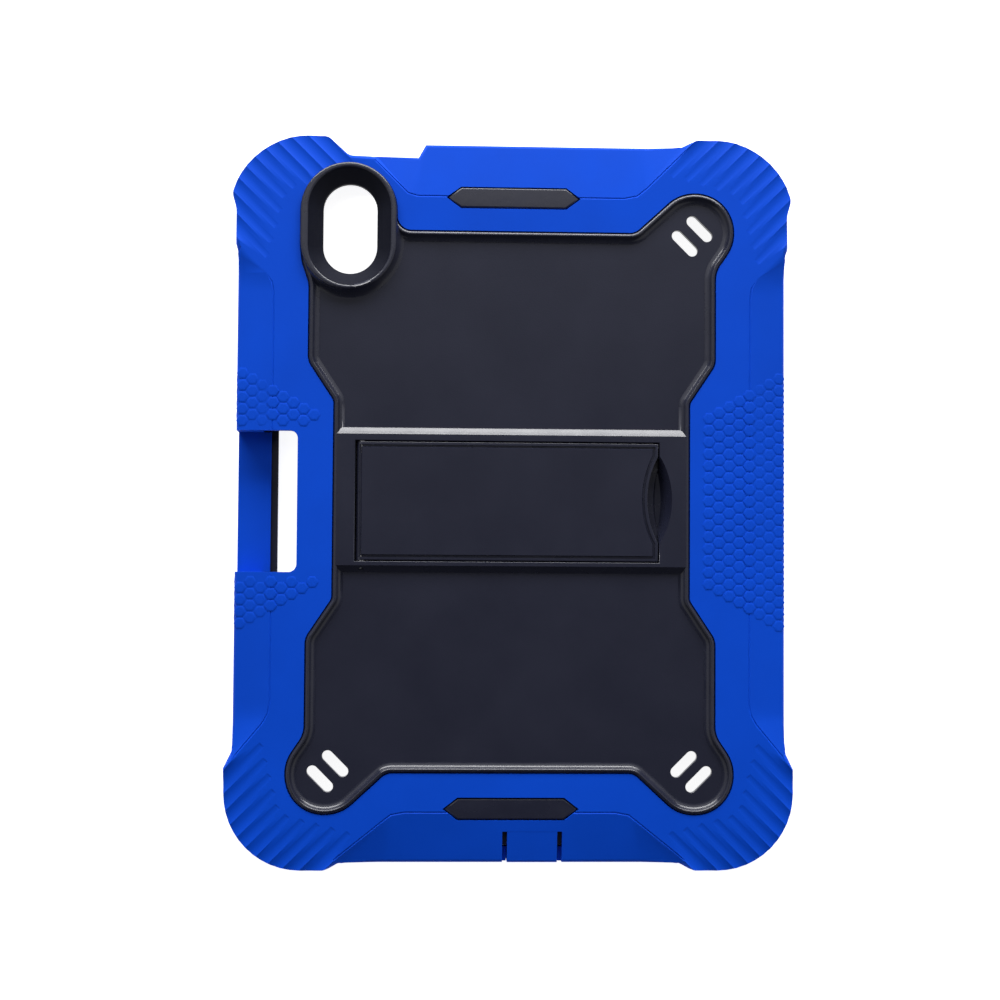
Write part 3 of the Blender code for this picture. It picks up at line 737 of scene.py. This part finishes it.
def strap_slots():
    """Two slots through each lobe, across its diagonal, for a strap."""
    tools = []
    for sx, sy in LOBES:
        for x, y in STRAP_SLOTS:
            place = Matrix.Translation((sx * x, sy * y, 0.0)) @ Matrix.Rotation(math.pi / 4 * sx * sy, 4, "Z")
            outline = pill(0.0, 0.0, STRAP_SLOT_X / 2, STRAP_SLOT_Y / 2)
            steps = rounding(0.2, -1) + [(CLEAR, 0.0)]
            tools.append(column("strap_slot", outline, SEAT_Z - 1, FIELD_Z - 0.2, steps, matrix=place))
    return tools


def finger_scoop():
    """Boat-shaped hollow beside the kickstand's end that a fingertip fits."""
    sections = []
    for height, size in SCOOP_SIZES:
        middle, half = (SCOOP_Y0 + SCOOP_Y1) / 2, (SCOOP_Y1 - SCOOP_Y0) / 2 * (0.5 + size / 2)
        right = bow(BAY_X1, middle - half, middle + half, size * (SCOOP_X1 - BAY_X1))
        left = bow(BAY_X1, middle - half, middle + half, size * (SCOOP_X0 - BAY_X1))
        sections.append((right + left[-2:0:-1], height))
    return loft("finger_scoop", sections)


def snap_tabs(name, near, far, grow, z0, z1):
    """Boxes for the bezel's snap tabs or their slots, between near and far from the pocket's wall."""
    half = TAB_LENGTH / 2 + grow
    sizes = []
    for y in TABS_SIDE:
        sizes.append((POCKET_X + near, POCKET_X + far, y - half, y + half, z0, z1))
        sizes.append((-POCKET_X - far, -POCKET_X - near, y - half, y + half, z0, z1))
    for x in TABS_TOP:
        sizes.append((x - half, x + half, POCKET_Y + near, POCKET_Y + far, z0, z1))
    for x in TABS_BOTTOM:
        sizes.append((x - half, x + half, -POCKET_Y - far, -POCKET_Y - near, z0, z1))
    return boxes(name, sizes)


def pin_holes(name):
    """Holes for both hinge pins, along Y."""
    bm = bmesh.new()
    for y0, y1 in (
        (BAY_Y1 - STAND_GAP - PIN_IN_STAND - GAP, BAY_Y1 + PIN_IN_SHELL + GAP),
        (BAY_Y0 - PIN_IN_SHELL - GAP, BAY_Y0 + STAND_GAP + PIN_IN_STAND + GAP),
    ):
        place = Matrix.Translation((PIN_X, (y0 + y1) / 2, PIN_Z)) @ Matrix.Rotation(math.pi / 2, 4, "X")
        radius = PIN_R + GAP
        bmesh.ops.create_cone(
            bm, cap_ends=True, segments=32, radius1=radius, radius2=radius, depth=y1 - y0, matrix=place
        )
    return keep(name, bm)


def grained_where(body, height):
    """Gives the flat faces at that height the second material."""
    for face in body.data.polygons:
        if face.normal.z > 0.99 and abs(face.center.z - height) < 0.1:
            face.material_index = 1


def in_mouth(face):
    """Whether a face is on the funnel inside the camera ring."""
    across = face.center.xy - Vector((RING_X, RING_Y))
    inwards = face.normal.xy.dot(across) < 0
    past_straight = max(0.0, abs(across.y) - (RING_HALF_Y - RING_HALF_X))
    within = math.hypot(across.x, past_straight) < RING_HALF_X - RING_CREST + 0.5
    return inwards and within and PLATE_Z - 2 < face.center.z < RING_Z - 0.4


class CASE_OT_shell(bpy.types.Operator):
    """Hard rear shell: tray, raised panel with two sunk fields, camera ring and two bars"""

    bl_idname = "case.shell"
    bl_label = "Rear shell"

    def execute(self, context):
        rim = context.scene.case_shell.rim_radius / MM
        base = PLATE_Z - 1
        tray = centred(SHELL_X, SHELL_Y, POCKET_R + WALL)
        body = column("rear_shell_moulding", tray, SHELL_Z0, PLATE_Z - 0.8, rounding(0.8))
        join(body, column("panel", panel_outline(), base, RIM_Z - rim, rounding(rim)))
        cut(body, field_tool("upper_field", 1), field_tool("lower_field", -1))
        ring = pill(RING_X, RING_Y, RING_HALF_X, RING_HALF_Y)
        join(body, ring_foot(), column("ring", ring, base, RING_Z - 0.9, rounding(0.9), grow=0.1))
        join(body, *[column("bar", outline, base, BAR_Z - 0.7, rounding(0.7)) for outline in bar_outlines()])
        pocket = centred(POCKET_X, POCKET_Y, POCKET_R)
        bay = rectangle(BAY_X0, BAY_X1, BAY_Y0, BAY_Y1)
        cut(
            body,
            column("pocket", pocket, SHELL_Z0 - 1, SEAT_Z - 0.8, rounding(0.8)),
            core_cells(),
            *lobe_cores(),
            column("bay", bay, PLATE_Z, RIM_Z - 0.25, rounding(0.25, -1) + [(CLEAR, 0.0)]),
            finger_scoop(),
            column("camera_hole", pill(HOLE_X, HOLE_Y, HOLE_HALF_X, HOLE_HALF_Y), SEAT_Z - 1, RING_Z),
            camera_mouth(),
            boxes("cut_out", [(-SIDE_X - 10, CUT_X + GAP, CUT_Y0 - GAP, CUT_Y1 + GAP, 0.0, RING_Z)]),
            boxes("port", [(PORT_X0, PORT_X1, -END_Y, -POCKET_Y + 1, KEY_Z0 - 0.2, KEY_Z1 - 0.2)]),
            side_openings("side_holes", *SHELL_OPENINGS),
            snap_tabs("tab_slots", -1.0, WALL + 1, GAP, SHELL_Z0 - 1, BEZEL_Z1 + TAB_RISE + GAP),
            pin_holes("pin_holes"),
            *strap_slots(),
        )
        for height in (FIELD_Z, RIM_Z):
            grained_where(body, height)
        # Painted shade: faces of the funnel inside the camera ring get a darker black, for the shade that
        # falls deep in the ring.
        for face in body.data.polygons:
            if in_mouth(face):
                face.material_index = 2
        shades = [polished_polycarbonate(), grained_polycarbonate(), antiglare_polycarbonate()]
        finish(body, "case", "rear_shell", shades)
        return {"FINISHED"}


def ring_foot():
    """The skirt where the camera ring runs out on to the field, kept inside the panel's edge."""
    outline = pill(RING_X, RING_Y, RING_HALF_X + RING_SKIRT, RING_HALF_Y + RING_SKIRT)
    foot = column("ring_foot", outline, PLATE_Z - 1, FIELD_Z + 0.05, SKIRT_STEPS)
    shape(foot, "INTERSECT", column("panel_limit", panel_outline(), 0.0, RING_Z, grow=-0.9))
    return foot


def camera_mouth():
    """The funnel from the camera ring's crest down to the hole, with a rounded inner crest."""
    hole = pill(HOLE_X, HOLE_Y, HOLE_HALF_X, HOLE_HALF_Y)
    spread = RING_HALF_X - RING_CREST - HOLE_HALF_X
    slope = [(RING_Z - PLATE_Z - 0.9, -(spread - 0.7)), (0.55, -0.5), (0.35, -0.6), (CLEAR, 0.0)]
    return column("camera_mouth", hole, PLATE_Z - 0.2, PLATE_Z, slope)


# ---------------------------------------------------------------- other pieces


class CASE_OT_bezel(bpy.types.Operator):
    """Front frame that laps the glass and snaps into the rear shell"""

    bl_idname = "case.bezel"
    bl_label = "Front frame"

    def execute(self, context):
        outline = centred(POCKET_X + WALL, POCKET_Y + WALL, POCKET_R + WALL)
        body = column("bezel_moulding", outline, BEZEL_Z0, BEZEL_Z1)
        join(body, snap_tabs("tabs", TAB_NEAR, TAB_FAR, 0.0, BEZEL_Z1 - 0.5, BEZEL_Z1 + TAB_RISE))
        lap = centred(POCKET_X - BEZEL_LAP, POCKET_Y - BEZEL_LAP, POCKET_R - BEZEL_LAP)
        cut(body, column("screen_opening", lap, 0.0, SEAT_Z))
        soften(body, level_edge, 0.3, 2)
        finish(body, "case", "front_frame", [grained_polycarbonate()])
        return {"FINISHED"}


def level_edge(edge, at, turn):
    """Whether an edge is crisp and level."""
    return turn > 45 and abs(edge.verts[0].co.z - edge.verts[1].co.z) < 0.01


class CASE_OT_kickstand(bpy.types.Operator):
    """Kickstand plate with a framed face, a round knuckle and cored cells behind"""

    bl_idname = "case.kickstand"
    bl_label = "Kickstand"

    def execute(self, context):
        body = column("kickstand_plate", stand_outline(), STAND_Z0, STAND_Z1 - 0.3, rounding(0.3))
        half = (STAND_Z1 - STAND_Z0) / 2
        turn = Matrix.Rotation(math.pi, 4, "Z") @ Matrix.Rotation(math.pi / 2, 4, "X")
        profile = [(-PIN_X + half, STAND_Z0, half - 0.01), (-PIN_X + half, STAND_Z1, half - 0.01)]
        profile += [(-BAY_X1 - 5, STAND_Z1), (-BAY_X1 - 5, STAND_Z0)]
        shape(body, "INTERSECT", column("knuckle", profile, BAY_Y0 - 2, BAY_Y1 + 2, matrix=turn))
        groove = column("groove", stand_outline(GROOVE_NEAR), STAND_Z1 - GROOVE_DEPTH, STAND_Z1 + 1)
        island = column(
            "island", stand_outline(GROOVE_FAR), STAND_Z1 - 1, STAND_Z1 - GROOVE_DEPTH,
            [(GROOVE_DEPTH, 0.3), (2.0, 0.0)],
        )
        cut(groove, island)
        hollow_x0 = PIN_X + half + STAND_EDGE
        width = (SCOOP_X0 - STAND_EDGE - hollow_x0 + CORE_RIB) / STAND_CELLS
        y0, y1 = BAY_Y0 + STAND_GAP + STAND_EDGE, BAY_Y1 - STAND_GAP - STAND_EDGE
        cells = []
        for i in range(STAND_CELLS):
            left, right = hollow_x0 + i * width, hollow_x0 + (i + 1) * width - CORE_RIB
            cells.append((left, right, y0, y1, 0.0, STAND_Z1 - STAND_SKIN))
        cut(body, groove, boxes("cells", cells), pin_holes("pin_holes"))
        grained_where(body, STAND_Z1)
        finish(body, "kickstand", "kickstand", [polished_polycarbonate(), grained_polycarbonate()])
        return {"FINISHED"}


class CASE_OT_port_flap(bpy.types.Operator):
    """Port flap that bends at a thin web where it leaves the skin"""

    bl_idname = "case.port_flap"
    bl_label = "Port flap"

    def execute(self, context):
        web_end, top_y = FLAP_Y - FLAP_BEND, FLAP_Y + 0.15
        profile = [
            (top_y, border_z(top_y) - FLAP_WEB),
            (web_end, border_z(web_end) - FLAP_WEB, 0.6),
            (web_end - 0.6, PLATE_Z + GAP, 0.4),
            (FLAP_FACE_Y, PLATE_Z + GAP),
            (FLAP_FACE_Y, FLAP_Z0),
            (-END_Y, FLAP_Z0, 1.2),
            (-END_Y, EDGE_Z, 1.2),
            (top_y, border_z(top_y)),
        ]
        turn = Matrix.Rotation(math.pi / 2, 4, "Z") @ Matrix.Rotation(math.pi / 2, 4, "X")
        body = column("port_flap_moulding", profile, FLAP_X0, FLAP_X1, matrix=turn)
        soften(body, lambda edge, at, turn: turn > 45 and at.y < web_end, 0.4, 2)
        plug_y = (FLAP_FACE_Y - 1, -POCKET_Y - PLUG_END)
        join(body, boxes("plug", [(PORT_X0 + 1, PORT_X1 - 1, *plug_y, PLUG_Z0, PLUG_Z1)]))
        bm = bmesh.new()
        bm.from_mesh(body.data)
        for i in range(1, FLAP_RINGS + 1):
            everything = list(bm.verts) + list(bm.edges) + list(bm.faces)
            place = (0.0, FLAP_Y - FLAP_BEND / FLAP_RINGS * i, 0.0)
            bmesh.ops.bisect_plane(bm, geom=everything, plane_co=place, plane_no=(0.0, 1.0, 0.0))
        bm.to_mesh(body.data)
        bm.free()
        finish(body, None, "port_flap", [silicone()])
        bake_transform(body)
        return {"FINISHED"}


class CASE_OT_volume_keys(bpy.types.Operator):
    """Two silicone key covers with domed faces and a raised plus or minus"""

    bl_idname = "case.volume_keys"
    bl_label = "Volume keys"

    def execute(self, context):
        for key, rides in zip(KEYS, ("volume_up", "volume_down")):
            low, high = corner_mm(key, 0), corner_mm(key, 1)
            body = key_column(key, 0.0, -SIDE_X + 0.75, -KEY_TIP, rounding(0.7) + [(0.1, 1.0)])
            body.name = rides + "_cover"
            y, z = (low.y + high.y) / 2, (low.z + high.z) / 2
            mark_x = (-SIDE_X - 0.3, -SIDE_X + 0.3)
            join(body, boxes("bar", [(*mark_x, y - 1.3, y + 1.3, z - 0.25, z + 0.25)]))
            if rides == "volume_up":
                join(body, boxes("cross_bar", [(*mark_x, y - 0.25, y + 0.25, z - 1.3, z + 1.3)]))
            finish(body, rides, key, [silicone()])
        return {"FINISHED"}


class CASE_OT_hinge_pins(bpy.types.Operator):
    """Steel finish on the two stub pins that the kickstand turns on"""

    bl_idname = "case.hinge_pins"
    bl_label = "Hinge pins"

    def execute(self, context):
        steel = ground_steel()
        for node in ("kickstand_pin_upper", "kickstand_pin_lower"):
            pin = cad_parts[node]
            pin.data.materials.clear()
            pin.data.materials.append(steel)
            pin.data.shade_smooth()
        return {"FINISHED"}


# ---------------------------------------------------------------- materials


def add_node(tree, kind, values=None, links=None, **settings):
    """Adds a node with its settings, its socket values and what is linked to its sockets."""
    node = tree.nodes.new(kind)
    for key, value in settings.items():
        setattr(node, key, value)
    for key, value in (values or {}).items():
        node.inputs[key].default_value = value
    for key, socket in (links or {}).items():
        tree.links.new(socket, node.inputs[key])
    return node


def new_material(name):
    """An empty node material with its shader, and where on the object a point is."""
    material = bpy.data.materials.new(name)
    material.use_nodes = True
    tree = material.node_tree
    tree.nodes.clear()
    shader = add_node(tree, "ShaderNodeBsdfPrincipled")
    add_node(tree, "ShaderNodeOutputMaterial", links={"Surface": shader.outputs["BSDF"]})
    place = add_node(tree, "ShaderNodeTexCoord").outputs["Object"]
    return material, tree, shader, place


def per(size):
    """Texture scale whose features are about that many millimetres across."""
    return 1 / (size * MM)


def ranged(tree, value, low, high, start=0.0, end=1.0):
    """The value, with what runs from start to end turned to run from low to high."""
    limits = {"From Min": start, "From Max": end, "To Min": low, "To Max": high}
    return add_node(tree, "ShaderNodeMapRange", limits, {"Value": value}).outputs["Result"]


def moulded(name, colour, ior, roughness, spread, grain, relief, mottle, specular=0.5):
    """A moulded surface: spark-eroded grain of the mould in relief, and faint uneven gloss and shade.

    grain and mottle are sizes in millimetres, relief is the height of the grain in millimetres.
    """
    if name in bpy.data.materials:
        return bpy.data.materials[name]
    material, tree, shader, place = new_material(name)
    shader.inputs["IOR"].default_value = ior
    shader.inputs["Specular IOR Level"].default_value = specular
    cloud = add_node(tree, "ShaderNodeTexNoise", {"Scale": per(mottle), "Detail": 4.0}, {"Vector": place})
    pits = add_node(
        tree, "ShaderNodeTexNoise", {"Scale": per(grain), "Detail": 3.0, "Roughness": 0.6}, {"Vector": place}
    )
    shade = ranged(tree, cloud.outputs["Fac"], 0.94, 1.06, 0.3, 0.7)
    gloss = ranged(tree, cloud.outputs["Fac"], roughness - spread, roughness + spread, 0.3, 0.7)
    tint = add_node(tree, "ShaderNodeVectorMath", {0: linear(colour)}, {1: shade}, operation="MULTIPLY")
    bump = add_node(
        tree, "ShaderNodeBump", {"Strength": 1.0, "Distance": relief * MM}, {"Height": pits.outputs["Fac"]}
    )
    tree.links.new(tint.outputs["Vector"], shader.inputs["Base Color"])
    tree.links.new(gloss, shader.inputs["Roughness"])
    tree.links.new(bump.outputs["Normal"], shader.inputs["Normal"])
    return material


def silicone():
    """Compression-moulded silicone rubber: saturated and dry to the eye."""
    look = bpy.context.scene.case_skin
    return moulded("moulded_silicone_rubber", look.colour, 1.41, look.roughness, 0.05, 0.5, 0.02, 35.0, 0.15)


def polycarbonate(name, roughness, spread, grain, relief, mottle, specular=0.5):
    """Near-black injection-moulded polycarbonate, as the cavity's own finish leaves it; inside the camera
    ring it takes a darker black that is painted shade.
    """
    look = bpy.context.scene.case_shell
    # Inside the camera ring the colour is darker, which is painted shade.
    colour = look.mouth_shade_colour if name == "antiglare_polycarbonate" else look.colour
    return moulded(name, colour, 1.585, roughness, spread, grain, relief, mottle, specular)


def polished_polycarbonate():
    """From a polished cavity: smooth, with a slightly wavy gloss."""
    roughness = bpy.context.scene.case_shell.rim_roughness
    return polycarbonate("polished_polycarbonate", roughness, 0.04, 14.0, 0.12, 9.0)


def grained_polycarbonate():
    """From a spark-eroded cavity: fine matte grain that greys in soft light."""
    roughness = bpy.context.scene.case_shell.field_roughness
    return polycarbonate("grained_polycarbonate", roughness, 0.03, 0.55, 0.03, 22.0, 0.25)


def antiglare_polycarbonate():
    """Painted shade: a darker black on the funnel inside the camera ring, standing in for the shade that
    falls deep in it.
    """
    return polycarbonate("antiglare_polycarbonate", 0.5, 0.05, 0.4, 0.05, 12.0, 0.08)


def ground_steel():
    """Centreless-ground steel pin: bright metal with fine rings round it."""
    material, tree, shader, place = new_material("ground_steel")
    shader.inputs["Base Color"].default_value = (*linear("#b9b9bd"), 1.0)
    shader.inputs["Metallic"].default_value = 1.0
    rings = add_node(
        tree, "ShaderNodeTexWave", {"Scale": per(1.0), "Distortion": 2.0}, {"Vector": place},
        bands_direction="Y",
    )
    tree.links.new(ranged(tree, rings.outputs["Fac"], 0.22, 0.34), shader.inputs["Roughness"])
    return material


def backlit_acrylic():
    """Opal acrylic of a light table: lit from below, so that openings in the case show white."""
    material, tree, shader, place = new_material("backlit_opal_acrylic")
    shader.inputs["Base Color"].default_value = (*linear("#e9e9e9"), 1.0)
    shader.inputs["Emission Color"].default_value = (1.0, 1.0, 1.0, 1.0)
    shader.inputs["Emission Strength"].default_value = bpy.context.scene.case_stage.table_glow
    haze = add_node(tree, "ShaderNodeTexNoise", {"Scale": per(400.0)}, {"Vector": place})
    tree.links.new(ranged(tree, haze.outputs["Fac"], 0.55, 0.65), shader.inputs["Roughness"])
    return material


# ---------------------------------------------------------------- stage


def add_light(name, place, size, power):
    """A soft box at place, turned to face the case; sizes in metres, power in watts."""
    data = bpy.data.lights.new(name, "AREA")
    data.shape = "RECTANGLE"
    data.size, data.size_y = size
    data.energy = power
    light = bpy.data.objects.new(name, data)
    light.location = place
    light.rotation_euler = (-Vector(place)).to_track_quat("-Z", "Y").to_euler()
    bpy.context.scene.collection.objects.link(light)


class CASE_OT_stage(bpy.types.Operator):
    """Pale light table, soft boxes and the camera"""

    bl_idname = "case.stage"
    bl_label = "Stage"

    def execute(self, context):
        scene, look = context.scene, context.scene.case_stage
        bm = bmesh.new()
        bmesh.ops.create_grid(bm, x_segments=1, y_segments=1, size=look.table_size / MM)
        table = keep("light_table", bm)
        table.data.transform(Matrix.Scale(MM, 4))
        table.data.materials.append(backlit_acrylic())

        for name, place, size, power in LIGHTS:
            add_light(name, place, size, getattr(look, power))
        world = bpy.data.worlds.new("soft_room")
        world.use_nodes = True
        glow = world.node_tree.nodes["Background"]
        glow.inputs["Color"].default_value = (*linear("#eef0f4"), 1.0)
        glow.inputs["Strength"].default_value = look.room_glow
        scene.world = world
        scene.view_settings.view_transform = "Standard"

        camera = bpy.data.objects.new("camera", bpy.data.cameras.new("camera"))
        camera.data.lens = look.lens
        turn = Matrix.Identity(3)
        for axis, degrees in zip("XYZ", VIEW_TURN):
            turn = Matrix.Rotation(math.radians(degrees), 3, axis) @ turn
        eye = turn.transposed() @ Vector((-VIEW_SHIFT[0], -VIEW_SHIFT[1], VIEW_DISTANCE))
        eye += Vector((0.0, 0.0, BACK_Z))
        camera.matrix_world = Matrix.Translation(eye * MM) @ turn.transposed().to_4x4()
        scene.collection.objects.link(camera)
        scene.camera = camera
        return {"FINISHED"}


# ---------------------------------------------------------------- settings and panel


def shade(name, note, value):
    """A setting for an sRGB hex colour."""
    return bpy.props.StringProperty(name=name, description=note, default=value)


def number(name, note, value, **kind):
    return bpy.props.FloatProperty(name=name, description=note, default=value, **kind)


def factor(name, note, value):
    return number(name, note, value, subtype="FACTOR")


def length(name, note, metres):
    return number(name, note, metres, unit="LENGTH")


def power(name, note, watts):
    return number(name, note, watts, unit="POWER")


class CaseSkinSettings(bpy.types.PropertyGroup):
    colour: shade("Colour", "sRGB hex colour of the silicone", "#0046c8")
    roughness: factor("Roughness", "Mean roughness of the silicone", 0.62)
    edge_radius: length("Edge radius", "Rounding of the outer edges", 1.3 * MM)
    lip_radius: length("Lip radius", "Rounding where the skin meets the shell", 0.5 * MM)
    flute_pitch: length("Flute pitch", "Distance between the corner ridges", 5.0 * MM)
    flute_depth: length("Flute depth", "Depth of the flutes at the outer edge", 1.3 * MM)
    grip_pitch: length("Grip pitch", "Distance between hexagons of the grip", 4.37 * MM)
    grip_height: length("Grip height", "How far the hexagons stand proud", 0.2 * MM)


class CaseShellSettings(bpy.types.PropertyGroup):
    colour: shade("Colour", "sRGB hex colour of the shell", "#1f2131")
    # Painted shade: the darker black inside the camera ring stands in for the shade deep in the funnel.
    mouth_shade_colour: shade("Mouth colour", "sRGB hex colour inside the camera ring", "#10121f")
    rim_roughness: factor("Rim roughness", "Roughness of the polished rims", 0.27)
    field_roughness: factor("Field roughness", "Roughness of the grained fields", 0.4)
    rim_radius: length("Rim radius", "Rounding of the rim's two edges", 1.1 * MM)


class CaseStageSettings(bpy.types.PropertyGroup):
    lens: number("Lens", "Focal length", 60.0, unit="CAMERA")
    table_size: length("Table size", "Half width of the light table", 3.0)
    table_glow: number("Table glow", "Light from the table", 0.9)
    room_glow: number("Room glow", "Light from the room", 0.04)
    key_power: power("Key light", "Soft box beyond the camera end", 55.0)
    fill_power: power("Fill light", "Soft box overhead", 7.6)
    side_power: power("Side light", "Soft box at each side", 5.6)


OPERATORS = (
    CASE_OT_skin, CASE_OT_shell, CASE_OT_bezel, CASE_OT_kickstand,
    CASE_OT_port_flap, CASE_OT_volume_keys, CASE_OT_hinge_pins, CASE_OT_stage,
)
SETTINGS = {"case_skin": CaseSkinSettings, "case_shell": CaseShellSettings, "case_stage": CaseStageSettings}


class CASE_PT_panel(bpy.types.Panel):
    bl_idname = "CASE_PT_panel"
    bl_label = "Tablet case"
    bl_space_type = "VIEW_3D"
    bl_region_type = "UI"
    bl_category = "Case"

    def draw(self, context):
        for operator in OPERATORS:
            self.layout.operator(operator.bl_idname)
        for name, group in SETTINGS.items():
            for key in group.__annotations__:
                self.layout.prop(getattr(context.scene, name), key)


def register():
    for item in (*SETTINGS.values(), *OPERATORS, CASE_PT_panel):
        bpy.utils.register_class(item)
    for name, group in SETTINGS.items():
        setattr(bpy.types.Scene, name, bpy.props.PointerProperty(type=group))


def unregister():
    for name in SETTINGS:
        delattr(bpy.types.Scene, name)
    for item in (CASE_PT_panel, *reversed(OPERATORS), *SETTINGS.values()):
        bpy.utils.unregister_class(item)


def main():
    register()
    for operator in OPERATORS:
        getattr(bpy.ops.case, operator.bl_idname.split(".")[1])()


if __name__ == "__main__":
    main()
